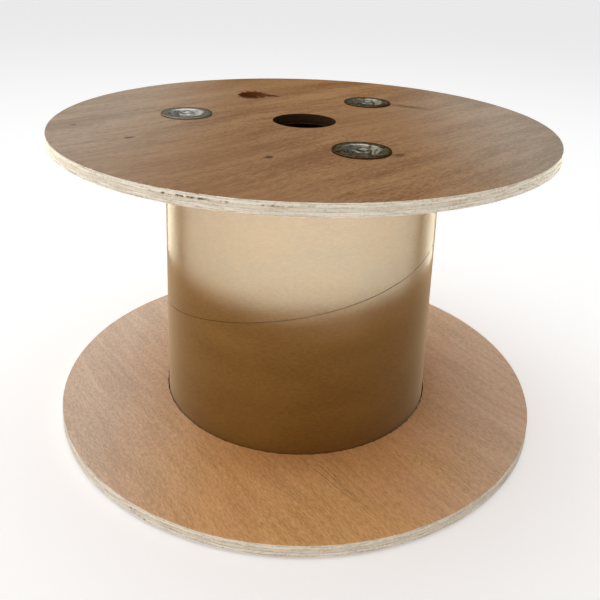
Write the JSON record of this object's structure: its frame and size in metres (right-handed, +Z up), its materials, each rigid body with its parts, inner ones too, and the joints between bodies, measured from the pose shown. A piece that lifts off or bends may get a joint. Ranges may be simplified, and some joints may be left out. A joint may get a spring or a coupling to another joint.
{
  "type": "wire spool",
  "caption": "Plywood cable reel: two round flanges clamped on a cardboard drum by tie rods with dished washers; turns on a spindle through its arbor hole.",
  "frame": {"origin": "on the spool's axis, in the plane of the lower dished washers' rims, which it stands on", "axes": "+Z up the spool's axis; -Y from the axis through the first tie rod; the start hole is near +Y"},
  "size_m": [0.3999, 0.4, 0.243],
  "materials": {
    "face_veneer_wood": "sanded, unvarnished, satin",
    "core_wood": "sawn edge, unvarnished, matte",
    "kraft_cardboard": "smooth kraft, slight gloss",
    "zinc_washer": "dull zinc plate",
    "zinc_nut": "zinc plate, lightly tarnished",
    "zinc_rod": "zinc plate, threaded"
  },
  "bodies": {
    "root": {"upper_flange_outer_veneer": "face_veneer_wood", "upper_flange_core": "core_wood", "upper_flange_inner_veneer": "face_veneer_wood", "lower_flange_outer_veneer": "face_veneer_wood", "lower_flange_core": "core_wood", "lower_flange_inner_veneer": "face_veneer_wood", "drum_tube": "kraft_cardboard", "tie_rod_1": "zinc_rod", "upper_dished_washer_1": "zinc_washer", "upper_nut_1": "zinc_nut", "lower_dished_washer_1": "zinc_washer", "lower_nut_1": "zinc_nut", "tie_rod_2": "zinc_rod", "upper_dished_washer_2": "zinc_washer", "upper_nut_2": "zinc_nut", "lower_dished_washer_2": "zinc_washer", "lower_nut_2": "zinc_nut", "tie_rod_3": "zinc_rod", "upper_dished_washer_3": "zinc_washer", "upper_nut_3": "zinc_nut", "lower_dished_washer_3": "zinc_washer", "lower_nut_3": "zinc_nut"}
  },
  "joints": []
}
